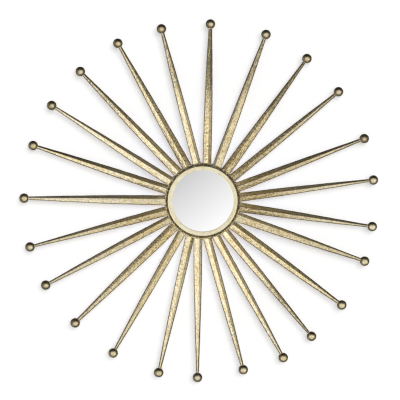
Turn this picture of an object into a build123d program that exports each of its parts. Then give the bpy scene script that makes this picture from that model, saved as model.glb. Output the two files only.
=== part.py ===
from build123d import *
import math
import os
from collections import namedtuple

# Sunburst wall mirror: a round mirror in a hub hoop, with tapered bars (rays) standing
# out round it, each ending in a ball.  Millimetres and degrees.
# Frame: +Z is up as hung, +Y points at the wall, the viewer stands on the -Y side with
# +X to the right.  The origin is on the hub axis, in the wall plane.
# Names ending in _R are radii, _T thicknesses along Y (across the bar for the hoop),
# and _Y and _Z are places on those axes.

# ---------------------------------------------------------------- wall ring and hub hoop
WALL_Y = 0.0
WALL_RING_T = 2.0
WALL_RING_IN_INSET = 0.3     # soft ring's inner edge, outside the hoop's inner radius
WALL_RING_OUT_INSET = 0.6    # soft ring's outer edge, inside the hoop's outer radius

HOOP_REAR_Y = WALL_Y - WALL_RING_T
HOOP_FRONT_Y = -19.5         # set back from the bezel front
HOOP_IN_R = 73.0
HOOP_T = 6.35                # quarter inch flat bar, rolled
HOOP_OUT_R = HOOP_IN_R + HOOP_T
HOOP_FRONT_CHAMFER = 0.8
HOOP_REAR_CHAMFER = 0.5

# ---------------------------------------------------------------- bezel and mirror stack
SIGHT_R = 64.0               # visible mirror radius
REBATE_R = 67.4              # rebate that holds the glass
CREST_R = 71.6               # where the bezel stands furthest forward
BEZEL_FRONT_Y = -32.0
LIP_FRONT_Y = -30.9          # front of the lip at the sight edge
LIP_REAR_Y = -30.2           # the glass rests against this
BEZEL_REAR_Y = -9.8

# Half section of the bezel as (radius, y), or ("arc", middle point, end point).
BEZEL_OUTLINE = [
    (HOOP_IN_R, BEZEL_REAR_Y),
    (HOOP_IN_R, BEZEL_FRONT_Y + 1.2),
    ("arc", (72.62, BEZEL_FRONT_Y + 0.33), (CREST_R, BEZEL_FRONT_Y)),
    ("arc", (68.3, BEZEL_FRONT_Y + 0.16), (64.6, BEZEL_FRONT_Y + 0.62)),
    ("arc", (64.15, BEZEL_FRONT_Y + 0.80), (SIGHT_R, LIP_FRONT_Y)),
    (SIGHT_R, LIP_REAR_Y),
    (REBATE_R, LIP_REAR_Y),
    (REBATE_R, BEZEL_REAR_Y),
]

GLASS_R = 67.0
GLASS_T = 3.0
GLASS_CHAMFER = 0.3
GLASS_REAR_Y = LIP_REAR_Y + GLASS_T
FOAM_R = 66.5
FOAM_T = 2.4
FOAM_REAR_Y = GLASS_REAR_Y + FOAM_T
BOARD_R = GLASS_R            # the board fills the rest of the depth to the bezel rear

# ---------------------------------------------------------------- back plate and screws
PLATE_R = 72.6
PLATE_T = 1.5
PLATE_REAR_Y = BEZEL_REAR_Y + PLATE_T
PLATE_EDGE_FILLET = 0.5      # on the rear rim
PLATE_HOLE_R = 1.7

Screw = namedtuple("Screw", "shank_r shank_length head_r head_height")
PLATE_SCREW = Screw(1.5, 9.0, 2.6, 1.9)
HANGER_SCREW = Screw(1.75, 11.0, 3.5, 2.2)
CROSS_TURN = 20              # turn of the cross recess about the screw axis

PLATE_SCREW_COUNT = 6
PLATE_SCREW_CIRCLE_R = 69.9
PLATE_SCREW_START = 30       # bearing of the first screw
CUT_OVERRUN = 1.0            # hole cutters run past the faces by this

# ---------------------------------------------------------------- hanger
HINGE_Z = 44.0               # centre line of the D-ring's straight bar
STRAP_WIDTH = 14.0
STRAP_T = 1.2                # one layer
STRAP_BOTTOM_Z = 15.0
STRAP_CORNER_R = 3.0
OUTER_LAYER_DROP = 2.2       # top of the rear layer, below the hinge line
STRAP_REAR_Y = PLATE_REAR_Y + 2 * STRAP_T
WIRE_R = 1.5                 # wire of the D-ring
LOOP_R = WIRE_R + 0.1        # with running clearance for the wire
LOOP_OUT_R = LOOP_R + STRAP_T
HINGE_Y = PLATE_REAR_Y + LOOP_OUT_R
RING_HALF_WIDTH = 11.0       # half width of the D-ring on its centre line
RING_CORNER_R = 3.0
RING_LEG = 2.0               # straight leg between corner and arc
HANGER_SCREW_Z = (21.5, 34.5)
HANGER_HOLE_R = HANGER_SCREW.shank_r + 0.2

# ---------------------------------------------------------------- balls and rays
RAY_Y = -16.0                # plane of the centre lines of the rays and the balls
BALL_R = 10.0
RAY_START_R = 72.0           # the bar is built from here and trimmed by the hoop
RAY_BASE_R = 79.8            # radius at which the root bearing is given
NEIGHBOUR_GAP = 0.5          # gap left between two neighbouring roots
CORNER_SHARE = 0.24          # corner radius of the bar as a share of its half diagonal
HOOP_CUT_Y = (5, -45)        # ends of the cylinder that trims the root
DIVIDER_NEAR_R = 80.0        # the line between neighbours is drawn through the
DIVIDER_FAR_R = 150.0        # midpoints of their centre lines at these radii
DIVIDER_KEEP_R = 110.0       # a point here on the ray marks the side that stays
DIVIDER_BLOCK = (160, 60, 40)

# The width factor runs from root to tip between these fractions of the length.
FACTOR_START = 0.10
FACTOR_SPAN = 0.65

# Half diagonal of the square bar (half its width seen from the front) along its
# length: (fraction from the start radius to the ball centre, half diagonal).
PROFILE = [
    (0.00, 9.85), (0.16, 9.50), (0.31, 9.05), (0.45, 8.25),
    (0.60, 7.10), (0.74, 5.90), (0.88, 4.35), (1.00, 3.20),
]

# One row per ray, clockwise as seen from the front, starting just right of twelve
# o'clock.  Bearings run from +X towards +Z.  Columns: bearing of the root, bearing of
# the ball, radius of the ball centre, root width factor, tip width factor, roll of the
# bar about its own length (0 puts one corner square to the viewer, positive turns that
# corner anticlockwise round the hub).  The bars are set by hand, so no two are equal.
Ray = namedtuple("Ray", "root_bearing ball_bearing ball_radius root_factor tip_factor roll")
RAYS = [Ray(*row) for row in (
    (83.6, 87.5, 371.9, 0.94, 1.09, -12),
    (67.7, 69.2, 374.0, 1.00, 1.02, 23),
    (51.9, 53.8, 370.5, 1.08, 0.87, 7),
    (37.7, 38.8, 365.9, 0.90, 0.97, -3),
    (21.4, 21.1, 363.5, 1.06, 0.95, 1),
    (5.6, 7.0, 361.0, 0.96, 0.93, 1),
    (350.2, 351.4, 360.0, 1.04, 0.93, 2),
    (335.2, 339.6, 362.7, 1.07, 1.02, 21),
    (320.7, 323.2, 364.7, 1.01, 1.10, 9),
    (305.7, 308.8, 364.6, 0.98, 0.87, 11),
    (290.6, 297.2, 369.8, 0.91, 1.00, 11),
    (277.0, 283.5, 364.5, 0.90, 1.02, 10),
    (262.7, 268.3, 370.8, 0.96, 0.87, 18),
    (250.4, 255.6, 372.0, 0.97, 0.97, 15),
    (236.4, 239.5, 370.6, 0.90, 0.93, -12),
    (222.3, 223.7, 370.6, 1.02, 1.07, -9),
    (209.0, 208.2, 374.2, 0.90, 0.99, -13),
    (195.6, 194.9, 375.4, 1.03, 0.90, -9),
    (179.1, 179.1, 375.3, 1.08, 1.07, -14),
    (162.6, 161.9, 374.9, 1.02, 1.07, -7),
    (148.8, 147.7, 375.2, 1.04, 0.92, -13),
    (131.0, 133.4, 374.2, 1.06, 1.02, -9),
    (114.9, 118.3, 376.0, 1.07, 1.02, -2),
    (99.1, 103.5, 371.7, 0.90, 1.04, -15),
)]


# ---------------------------------------------------------------- helpers
def disc(radius, y_one, y_two, x=0.0, z=0.0):
    """Round slab along Y between two y values, given in either order."""
    low, high = min(y_one, y_two), max(y_one, y_two)
    plane = Plane(origin=(x, high, z), x_dir=(1, 0, 0), z_dir=(0, -1, 0))
    return plane * extrude(Circle(radius), high - low)


def turned(points):
    """Solid of revolution round the Y axis from a closed outline of (radius, y)
    points; ("arc", middle, end) makes a circular arc."""
    edges = []
    here = points[0]
    for item in points[1:]:
        if item[0] == "arc":
            _, middle, end = item
            edges.append(ThreePointArc(here, middle, end))
        else:
            end = item
            edges.append(Line(here, end))
        here = end
    edges.append(Line(here, points[0]))
    return revolve(make_face(edges), Axis.Y)


def polar(bearing, radius):
    """(x, z) of a point at a bearing from +X towards +Z."""
    angle = math.radians(bearing)
    return radius * math.cos(angle), radius * math.sin(angle)


def move_to_radius(point, direction, radius):
    """Signed distance along a line, and the (x, z) reached, at a radius from the axis."""
    along = point[0] * direction[0] + point[1] * direction[1]
    excess = point[0] ** 2 + point[1] ** 2 - radius**2
    distance = -along + math.sqrt(along * along - excess)
    reached = (point[0] + distance * direction[0], point[1] + distance * direction[1])
    return distance, reached


# ---------------------------------------------------------------- rays and balls
def ray_line(ray):
    """Start point, unit direction and length to the ball centre, in the x, z plane."""
    base = polar(ray.root_bearing, RAY_BASE_R)
    ball = polar(ray.ball_bearing, ray.ball_radius)
    length = math.hypot(ball[0] - base[0], ball[1] - base[1])
    direction = ((ball[0] - base[0]) / length, (ball[1] - base[1]) / length)
    distance, start = move_to_radius(base, direction, RAY_START_R)
    return start, direction, length - distance


def point_at(ray, radius):
    """Point on the ray's centre line at a distance from the hub axis."""
    start, direction, _ = ray_line(ray)
    return move_to_radius(start, direction, radius)[1]


def midpoint_at(ray, neighbour, radius):
    one, two = point_at(ray, radius), point_at(neighbour, radius)
    return (one[0] + two[0]) / 2, (one[1] + two[1]) / 2


def width_factor(ray, fraction):
    """Width factor of this ray at a fraction of its length."""
    blend = min(max((fraction - FACTOR_START) / FACTOR_SPAN, 0.0), 1.0)
    return ray.root_factor + (ray.tip_factor - ray.root_factor) * blend


def divider(ray, neighbour):
    """Large block beyond the line between two neighbours, moved half the gap
    towards the ray; it trims the root where the two would meet."""
    near = midpoint_at(ray, neighbour, DIVIDER_NEAR_R)
    far = midpoint_at(ray, neighbour, DIVIDER_FAR_R)
    keep = point_at(ray, DIVIDER_KEEP_R)
    along_x, along_z = far[0] - near[0], far[1] - near[1]
    length = math.hypot(along_x, along_z)
    along_x, along_z = along_x / length, along_z / length
    normal_x, normal_z = -along_z, along_x
    if (keep[0] - near[0]) * normal_x + (keep[1] - near[1]) * normal_z < 0:
        normal_x, normal_z = -normal_x, -normal_z
    # the normal now points towards the ray; the block sits on the other side
    shift = NEIGHBOUR_GAP / 2
    plane = Plane(
        origin=(near[0] + normal_x * shift, RAY_Y, near[1] + normal_z * shift),
        x_dir=(along_x, 0, along_z),
        z_dir=(-normal_x, 0, -normal_z),
    )
    return plane * Box(*DIVIDER_BLOCK, align=(Align.CENTER, Align.CENTER, Align.MIN))


def make_ball(ray):
    x, z = polar(ray.ball_bearing, ray.ball_radius)
    return Pos(x, RAY_Y, z) * Sphere(BALL_R)


def make_ray(index):
    """Tapered rounded-square bar, trimmed by the hoop, its ball and its neighbours."""
    ray = RAYS[index]
    start, direction, length = ray_line(ray)
    sections = []
    for fraction, profile_half in PROFILE:
        # a rolled bar is a little larger, so that its width from the front holds
        half = profile_half * width_factor(ray, fraction) / math.cos(math.radians(ray.roll))
        corner = CORNER_SHARE * half
        # a rounded square loses corner * (sqrt(2) - 1) of its half diagonal
        side = math.sqrt(2) * (half + corner * (math.sqrt(2) - 1))
        travel = fraction * length
        plane = Plane(
            origin=(start[0] + travel * direction[0], RAY_Y, start[1] + travel * direction[1]),
            x_dir=(0, -1, 0),
            z_dir=(direction[0], 0, direction[1]),
        )
        square = RectangleRounded(side, side, corner)
        sections.append(plane * Rot(0, 0, 45 - ray.roll) * square)
    bar = loft(sections)
    bar -= disc(HOOP_OUT_R, *HOOP_CUT_Y)
    bar -= make_ball(ray)
    for other in (index - 1, index + 1):
        bar -= divider(ray, RAYS[other % len(RAYS)])
    # the cuts can leave loose scraps, so only the largest solid is kept
    return max(bar.solids(), key=lambda solid: solid.volume)


# ---------------------------------------------------------------- hub
def make_wall_ring():
    inner = HOOP_IN_R + WALL_RING_IN_INSET
    outer = HOOP_OUT_R - WALL_RING_OUT_INSET
    return turned([(inner, HOOP_REAR_Y), (outer, HOOP_REAR_Y), (outer, WALL_Y), (inner, WALL_Y)])


def make_hoop():
    """Rolled band with its two outer edges chamfered."""
    return turned([
        (HOOP_IN_R, HOOP_REAR_Y),
        (HOOP_IN_R, HOOP_FRONT_Y),
        (HOOP_OUT_R - HOOP_FRONT_CHAMFER, HOOP_FRONT_Y),
        (HOOP_OUT_R, HOOP_FRONT_Y + HOOP_FRONT_CHAMFER),
        (HOOP_OUT_R, HOOP_REAR_Y - HOOP_REAR_CHAMFER),
        (HOOP_OUT_R - HOOP_REAR_CHAMFER, HOOP_REAR_Y),
    ])


def plate_screw_centres():
    step = 360.0 / PLATE_SCREW_COUNT
    return [
        polar(PLATE_SCREW_START + step * k, PLATE_SCREW_CIRCLE_R)
        for k in range(PLATE_SCREW_COUNT)
    ]


def make_bezel():
    ring = turned(BEZEL_OUTLINE)
    hole_end_y = PLATE_REAR_Y - PLATE_SCREW.shank_length
    for x, z in plate_screw_centres():
        ring -= disc(PLATE_SCREW.shank_r, BEZEL_REAR_Y + CUT_OVERRUN, hole_end_y, x, z)
    return ring


def make_glass():
    return turned([
        (0.0, LIP_REAR_Y),
        (GLASS_R - GLASS_CHAMFER, LIP_REAR_Y),
        (GLASS_R, LIP_REAR_Y + GLASS_CHAMFER),
        (GLASS_R, GLASS_REAR_Y - GLASS_CHAMFER),
        (GLASS_R - GLASS_CHAMFER, GLASS_REAR_Y),
        (0.0, GLASS_REAR_Y),
    ])


def make_board():
    board = disc(BOARD_R, FOAM_REAR_Y, BEZEL_REAR_Y)
    hole_end_y = STRAP_REAR_Y - HANGER_SCREW.shank_length
    for z in HANGER_SCREW_Z:
        board -= disc(HANGER_SCREW.shank_r, hole_end_y, BEZEL_REAR_Y + CUT_OVERRUN, 0, z)
    return board


def make_plate():
    plate = disc(PLATE_R, BEZEL_REAR_Y, PLATE_REAR_Y)
    cut_y = (BEZEL_REAR_Y - CUT_OVERRUN, PLATE_REAR_Y + CUT_OVERRUN)
    for x, z in plate_screw_centres():
        plate -= disc(PLATE_HOLE_R, *cut_y, x, z)
    for z in HANGER_SCREW_Z:
        plate -= disc(HANGER_HOLE_R, *cut_y, 0, z)
    # the two largest circles are the rims; only the rear one is rounded
    rims = plate.edges().filter_by(GeomType.CIRCLE).sort_by(lambda edge: -edge.radius)[:2]
    middle_y = (BEZEL_REAR_Y + PLATE_REAR_Y) / 2
    return fillet([edge for edge in rims if edge.center().Y > middle_y], PLATE_EDGE_FILLET)


# ---------------------------------------------------------------- screws
def pan_screw(screw, x, z, seat_y):
    """Pan-head screw, head towards +Y from seat_y, with a cross recess."""
    shank_r, shank_length, head_r, head_height = screw
    tip_y = seat_y - shank_length
    top_y = seat_y + head_height
    body = turned([
        (0.0, tip_y),
        (shank_r * 0.45, tip_y),
        (shank_r, tip_y + shank_r * 0.8),
        (shank_r, seat_y),
        (head_r, seat_y),
        (head_r, seat_y + head_height * 0.45),
        ("arc", (head_r * 0.80, seat_y + head_height * 0.86), (head_r * 0.35, top_y)),
        (0.0, top_y),
    ])
    slot_width, slot_length, slot_depth = head_r * 0.26, head_r * 1.15, head_height * 0.6
    for turn in (0, 90):
        slot = Box(slot_length, slot_depth * 2, slot_width)
        body -= Pos(0, top_y, 0) * Rot(0, turn + CROSS_TURN, 0) * slot
    return Pos(x, 0, z) * body


def screw_set(screw, centres, seat_y):
    return Compound(children=[pan_screw(screw, x, z, seat_y).solid() for x, z in centres])


# ---------------------------------------------------------------- hanger
def make_strap():
    """Two layers of strip lying together, folded round the D-ring's straight bar."""
    plane = Plane(origin=(-STRAP_WIDTH / 2, 0, 0), x_dir=(0, 1, 0), z_dir=(1, 0, 0))
    # the profile is drawn in (y, z): the loop, the layer on the plate, the rear layer
    profile = Pos(HINGE_Y, HINGE_Z) * Circle(LOOP_OUT_R)
    for layer, top_z in enumerate((HINGE_Z, HINGE_Z - OUTER_LAYER_DROP)):
        height = top_z - STRAP_BOTTOM_Z
        centre_y = PLATE_REAR_Y + (layer + 0.5) * STRAP_T
        profile += Pos(centre_y, STRAP_BOTTOM_Z + height / 2) * Rectangle(STRAP_T, height)
    profile -= Pos(HINGE_Y, HINGE_Z) * Circle(LOOP_R)
    strap = plane * extrude(profile, STRAP_WIDTH)
    bottom_corners = strap.edges().filter_by(Axis.Y).group_by(Axis.Z)[0]
    strap = fillet(bottom_corners, STRAP_CORNER_R)
    cut_y = (PLATE_REAR_Y - CUT_OVERRUN, STRAP_REAR_Y + CUT_OVERRUN)
    for z in HANGER_SCREW_Z:
        strap -= disc(HANGER_HOLE_R, *cut_y, 0, z)
    return strap


def make_ring():
    """D-ring, upright: round wire swept along a closed D, straight bar at the bottom."""
    side = RING_HALF_WIDTH
    bar_end = side - RING_CORNER_R
    corner_z = HINGE_Z + RING_CORNER_R
    leg_z = corner_z + RING_LEG
    # inset of a corner arc's middle from the square corner
    inset = RING_CORNER_R * (1 - math.sqrt(0.5))

    def at(x, z):
        return (x, HINGE_Y, z)

    line, arc = Edge.make_line, Edge.make_three_point_arc
    path = Wire([
        line(at(-bar_end, HINGE_Z), at(bar_end, HINGE_Z)),
        arc(at(bar_end, HINGE_Z), at(side - inset, HINGE_Z + inset), at(side, corner_z)),
        line(at(side, corner_z), at(side, leg_z)),
        arc(at(side, leg_z), at(0, leg_z + side), at(-side, leg_z)),
        line(at(-side, leg_z), at(-side, corner_z)),
        arc(at(-side, corner_z), at(inset - side, HINGE_Z + inset), at(-bar_end, HINGE_Z)),
    ])
    # the sweep starts at the -X end of the straight bar
    section = Plane(origin=at(-bar_end, HINGE_Z), z_dir=(1, 0, 0)) * Circle(WIRE_R)
    return sweep(section, path=path)


# ---------------------------------------------------------------- all pieces
parts = {}
for i, ray in enumerate(RAYS):
    parts[f"ray_{i + 1:02d}"] = make_ray(i)
    parts[f"ball_{i + 1:02d}"] = make_ball(ray)

parts["hub_hoop"] = make_hoop()
parts["bezel_ring"] = make_bezel()
parts["mirror_glass"] = make_glass()
parts["foam_pad"] = disc(FOAM_R, GLASS_REAR_Y, FOAM_REAR_Y)
parts["backing_board"] = make_board()
parts["back_plate"] = make_plate()
parts["back_plate_screws"] = screw_set(PLATE_SCREW, plate_screw_centres(), PLATE_REAR_Y)
parts["hanger_strap"] = make_strap()
parts["hanger_ring"] = make_ring()
parts["hanger_screws"] = screw_set(HANGER_SCREW, [(0, z) for z in HANGER_SCREW_Z], STRAP_REAR_Y)
parts["wall_ring"] = make_wall_ring()

os.makedirs("parts", exist_ok=True)
for name, shape in parts.items():
    export_step(shape, f"parts/{name}.step")
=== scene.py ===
"""A sunburst wall mirror: a round glass in a gilded bezel and hoop, with 24 hammered
bars that run out from the hoop and end in balls.

It hangs upright round the Y axis: +Z is up, +X is to the viewer's right, the front
faces -Y and the wall is at Y = 0. Bearings run anticlockwise from +X as seen from the
front. The mirror's sizes are in millimetres; the stage, lights and camera are in
metres unless a comment says otherwise.
"""
import math
from collections import namedtuple

import bmesh
import bpy
import numpy as np
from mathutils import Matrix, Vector


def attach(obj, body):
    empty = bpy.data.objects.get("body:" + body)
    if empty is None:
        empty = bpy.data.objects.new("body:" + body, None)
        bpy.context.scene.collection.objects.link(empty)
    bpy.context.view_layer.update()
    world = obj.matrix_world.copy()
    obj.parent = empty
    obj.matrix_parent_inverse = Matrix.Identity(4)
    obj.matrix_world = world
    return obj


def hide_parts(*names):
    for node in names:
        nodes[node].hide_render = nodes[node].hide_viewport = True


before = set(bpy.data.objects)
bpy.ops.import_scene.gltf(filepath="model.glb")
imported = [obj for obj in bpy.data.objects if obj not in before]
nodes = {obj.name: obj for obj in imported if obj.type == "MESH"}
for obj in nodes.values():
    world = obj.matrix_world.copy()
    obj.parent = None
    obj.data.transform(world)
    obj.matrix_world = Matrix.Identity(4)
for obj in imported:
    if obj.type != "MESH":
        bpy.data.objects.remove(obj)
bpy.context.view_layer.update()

MM = 0.001
ROOT = "mirror"


# ------------------------------------------------------------------ dimensions, mm
BAR_Y = -16.0  # the plane of the bars' and balls' middles
BALL_R = 10.0
HOOP_OUT_R = 79.35
HOOP_FRONT_Y = -19.5
ROOT_LAP = 0.45  # how far a root laps over the hoop's front edge
ROOT_R = HOOP_OUT_R - ROOT_LAP
BAR_START_R = 72.0  # where distances along a bar are measured from
BAR_BASE_R = 79.8  # where the root bearings are measured

# half the diagonal of a bar's section (second row) by share of its length (first row)
PROFILE_SHARE = [0.00, 0.16, 0.31, 0.45, 0.60, 0.74, 0.88, 1.00]
PROFILE_HALF = [9.85, 9.50, 9.05, 8.25, 7.10, 5.90, 4.35, 3.20]

# Bearings and roll are in degrees. ball_reach is the radius to the ball's middle, and
# root_scale and tip_scale widen the profile. texture is the depth of the hammering.
# tarnish grows towards the tip; below zero the leaf is fresher there.
Bar = namedtuple(
    "Bar", "root_bearing ball_bearing ball_reach root_scale tip_scale roll texture tarnish"
)
BARS = [Bar(*row) for row in (
    (83.6, 87.5, 371.9, 0.94, 1.09, -12, 1.00, 0.72),
    (67.7, 69.2, 374.0, 1.00, 1.02, 23, 0.95, 0.58),
    (51.9, 53.8, 370.5, 1.08, 0.87, 7, 1.35, 0.66),
    (37.7, 38.8, 365.9, 0.90, 0.97, -3, 1.00, 0.00),
    (21.4, 21.1, 363.5, 1.06, 0.95, 1, 0.90, 0.26),
    (5.6, 7.0, 361.0, 0.96, 0.93, 1, 1.10, -0.80),
    (350.2, 351.4, 360.0, 1.04, 0.93, 2, 1.00, -0.50),
    (335.2, 339.6, 362.7, 1.07, 1.02, 21, 1.05, 0.33),
    (320.7, 323.2, 364.7, 1.01, 1.10, 9, 1.00, 0.20),
    (305.7, 308.8, 364.6, 0.98, 0.87, 11, 0.75, 0.59),
    (290.6, 297.2, 369.8, 0.91, 1.00, 11, 0.70, 0.46),
    (277.0, 283.5, 364.5, 0.90, 1.02, 10, 0.65, 0.50),
    (262.7, 268.3, 370.8, 0.96, 0.87, 18, 0.65, 0.38),
    (250.4, 255.6, 372.0, 0.97, 0.97, 15, 0.65, 0.40),
    (236.4, 239.5, 370.6, 0.90, 0.93, -12, 1.00, 0.20),
    (222.3, 223.7, 370.6, 1.02, 1.07, -9, 1.50, -0.30),
    (209.0, 208.2, 374.2, 0.90, 0.99, -13, 1.10, -0.60),
    (195.6, 194.9, 375.4, 1.03, 0.90, -9, 1.20, -0.60),
    (179.1, 179.1, 375.3, 1.08, 1.07, -14, 0.55, -0.80),
    (162.6, 161.9, 374.9, 1.02, 1.07, -7, 0.60, 0.00),
    (148.8, 147.7, 375.2, 1.04, 0.92, -13, 0.50, -0.40),
    (131.0, 133.4, 374.2, 1.06, 1.02, -9, 0.70, 0.56),
    (114.9, 118.3, 376.0, 1.07, 1.02, -2, 0.90, 0.50),
    (99.1, 103.5, 371.7, 0.90, 1.04, -15, 0.70, 0.57),
)]

# one value per ball, in the order of the bars: its tarnish, which also sizes its painted rim shade
# and painted highlight
BALL_TARNISH_AND_SHADE = [
    0.25, 0.25, 0.22, 0.26, 0.34, 0.14, 0.03, 0.05, 0.00, 0.09, 0.04, 0.08,
    0.11, 0.09, 0.09, 0.18, 0.24, 0.18, 0.13, 0.15, 0.29, 0.25, 0.26, 0.27,
]

# closed outlines of the turned pieces: (radius, y, corner rounding)
BEZEL_OUTLINE = [
    (73.0, -9.8, 0.3), (73.0, -31.3, 0.9), (72.1, -32.0, 0.9),
    (68.3, -31.98, 1.2), (64.4, -31.55, 0.25), (64.0, -31.2, 0.15),
    (64.0, -30.2, 0.1), (67.4, -30.2, 0.1), (67.4, -9.8, 0.3),
]
FELT_OUTLINE = [(73.3, -2.0, 0.2), (78.75, -2.0, 0.2), (78.75, 0.0, 0.7), (73.3, 0.0, 0.7)]
FOAM_OUTLINE = [(0.4, -27.2, 0), (66.4, -27.2, 0.8), (66.4, -24.8, 0.8), (0.4, -24.8, 0)]
CORNER_STEPS = 5


# ------------------------------------------------------------------ seeded noise
def hash01(*keys):
    """Repeatable numbers in 0..1 from whole numbers or arrays of them."""
    h = np.zeros(np.broadcast(*keys).shape, np.uint64) + np.uint64(1469598103934665603)
    for key in keys:
        h = (h ^ (np.asarray(key).astype(np.int64).astype(np.uint64))) * np.uint64(1099511628211)
        h ^= h >> np.uint64(29)
    h = (h ^ (h >> np.uint64(31))) * np.uint64(0x9E3779B97F4A7C15)
    h ^= h >> np.uint64(32)
    return (h & np.uint64(0xFFFFFF)).astype(np.float64) / float(0xFFFFFF)


def cell_and_blend(position):
    """The noise cell of a position, and the eased place inside it."""
    cell = np.floor(position)
    inside = position - cell
    return cell, inside * inside * (3 - 2 * inside)


def noise1(position, seed):
    """Smooth value noise along a line, -1..1."""
    cell, blend = cell_and_blend(position)
    low, high = hash01(cell, seed), hash01(cell + 1, seed)
    return (low + (high - low) * blend) * 2 - 1


def noise3(points, seed):
    """Smooth value noise of an (n, 3) array, -1..1."""
    cell, blend = cell_and_blend(points)
    total = 0
    for i in (0, 1):
        for j in (0, 1):
            for k in (0, 1):
                weight = (
                    np.where(i, blend[:, 0], 1 - blend[:, 0])
                    * np.where(j, blend[:, 1], 1 - blend[:, 1])
                    * np.where(k, blend[:, 2], 1 - blend[:, 2])
                )
                total = total + weight * hash01(cell[:, 0] + i, cell[:, 1] + j, cell[:, 2] + k, seed)
    return total * 2 - 1


def dent_field(along, around, cells_around, cell_length, seed, reach=0.62):
    """Shallow hammer dents on a surface: along in mm, around in 0..1.
    Returns 0..1, 1 at the bottom of a deep dent."""
    a, b = along / cell_length, around * cells_around
    cell_a, cell_b = np.floor(a), np.floor(b)
    deepest = np.zeros_like(a)
    for i in (-1, 0, 1):
        for j in (-1, 0, 1):
            near_a, near_b = cell_a + i, cell_b + j
            wrapped_b = np.mod(near_b, cells_around)
            mid_a = hash01(near_a, wrapped_b, seed) * 0.8 + 0.1
            mid_b = hash01(near_a, wrapped_b, seed + 1) * 0.8 + 0.1
            force = hash01(near_a, wrapped_b, seed + 2)
            size = reach * (0.65 + 0.6 * hash01(near_a, wrapped_b, seed + 3))
            gap = ((near_a + mid_a - a) ** 2 + (near_b + mid_b - b) ** 2) / size**2
            bowl = np.clip(1 - gap, 0, 1) ** 1.5 * (0.35 + 0.65 * force)
            deepest = np.maximum(deepest, bowl)
    return deepest


def smoothstep(start, end, x):
    k = np.clip((x - start) / (end - start), 0, 1)
    return k * k * (3 - 2 * k)


# ------------------------------------------------------------------ mesh helpers
def add_object(name, data):
    obj = bpy.data.objects.new(name, data)
    bpy.context.collection.objects.link(obj)
    return obj


def mesh_object(name, verts, faces, attrs=None):
    """A smooth-shaded mesh from points in mm, with three-channel point attributes."""
    mesh = bpy.data.meshes.new(name)
    mesh.from_pydata((verts * MM).tolist(), [], faces)
    mesh.update()
    mesh.polygons.foreach_set("use_smooth", np.ones(len(mesh.polygons), bool))
    for key, values in (attrs or {}).items():
        rgba = np.ones((len(verts), 4), np.float32)
        rgba[:, :3] = values
        layer = mesh.attributes.new(key, "FLOAT_COLOR", "POINT")
        layer.data.foreach_set("color", rgba.ravel())
    return add_object(name, mesh)


def grid_faces(rows, cols, closed=False):
    """Quads of a grid of points, joined round the columns and, if closed, the rows."""
    faces = []
    for j in range(rows if closed else rows - 1):
        j2 = (j + 1) % rows
        for k in range(cols):
            k2 = (k + 1) % cols
            faces.append((j * cols + k, j * cols + k2, j2 * cols + k2, j2 * cols + k))
    return faces


def face_outward(obj):
    bm = bmesh.new()
    bm.from_mesh(obj.data)
    bmesh.ops.recalc_face_normals(bm, faces=bm.faces)
    bm.to_mesh(obj.data)
    bm.free()


def unit_sphere(subdivisions):
    bm = bmesh.new()
    bmesh.ops.create_icosphere(bm, subdivisions=subdivisions, radius=1.0)
    points = np.array([v.co[:] for v in bm.verts])
    triangles = np.array([[v.index for v in f.verts] for f in bm.faces])
    bm.free()
    return points, triangles


# ------------------------------------------------------------------ the lines of the bars
# The 2D points and directions here are (x, z). side points to the anticlockwise side.
Line = namedtuple("Line", "start u side length ball")


def polar(bearing, radius):
    angle = math.radians(bearing)
    return np.array([radius * math.cos(angle), radius * math.sin(angle)])


def side_of(u):
    return np.array([-u[1], u[0]])


def run_to_radius(point, u, radius, offset=0.0):
    """How far to go along u from a point, moved sideways by offset, to reach a radius."""
    along = float(point @ u)
    gap = (
        float(point @ point) + offset**2 + 2 * offset * float(point @ side_of(u))
        - radius * radius
    )
    return -along + np.sqrt(along * along - gap)


def bar_line(bar):
    base = polar(bar.root_bearing, BAR_BASE_R)
    ball = polar(bar.ball_bearing, bar.ball_reach)
    u = (ball - base) / np.linalg.norm(ball - base)
    start = base + run_to_radius(base, u, BAR_START_R) * u
    return Line(start, u, side_of(u), float(np.linalg.norm(ball - start)), ball)


def point_at(bar, radius):
    line = bar_line(bar)
    return line.start + line.u * run_to_radius(line.start, line.u, radius)


def between_bars(bar, other, radius):
    return (point_at(bar, radius) + point_at(other, radius)) / 2


def half_diagonal(bar, share):
    tipward = np.clip((share - 0.10) / 0.65, 0, 1)
    return (
        np.interp(share, PROFILE_SHARE, PROFILE_HALF)
        * (bar.root_scale + (bar.tip_scale - bar.root_scale) * tipward)
        / math.cos(math.radians(bar.roll))
    )


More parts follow.
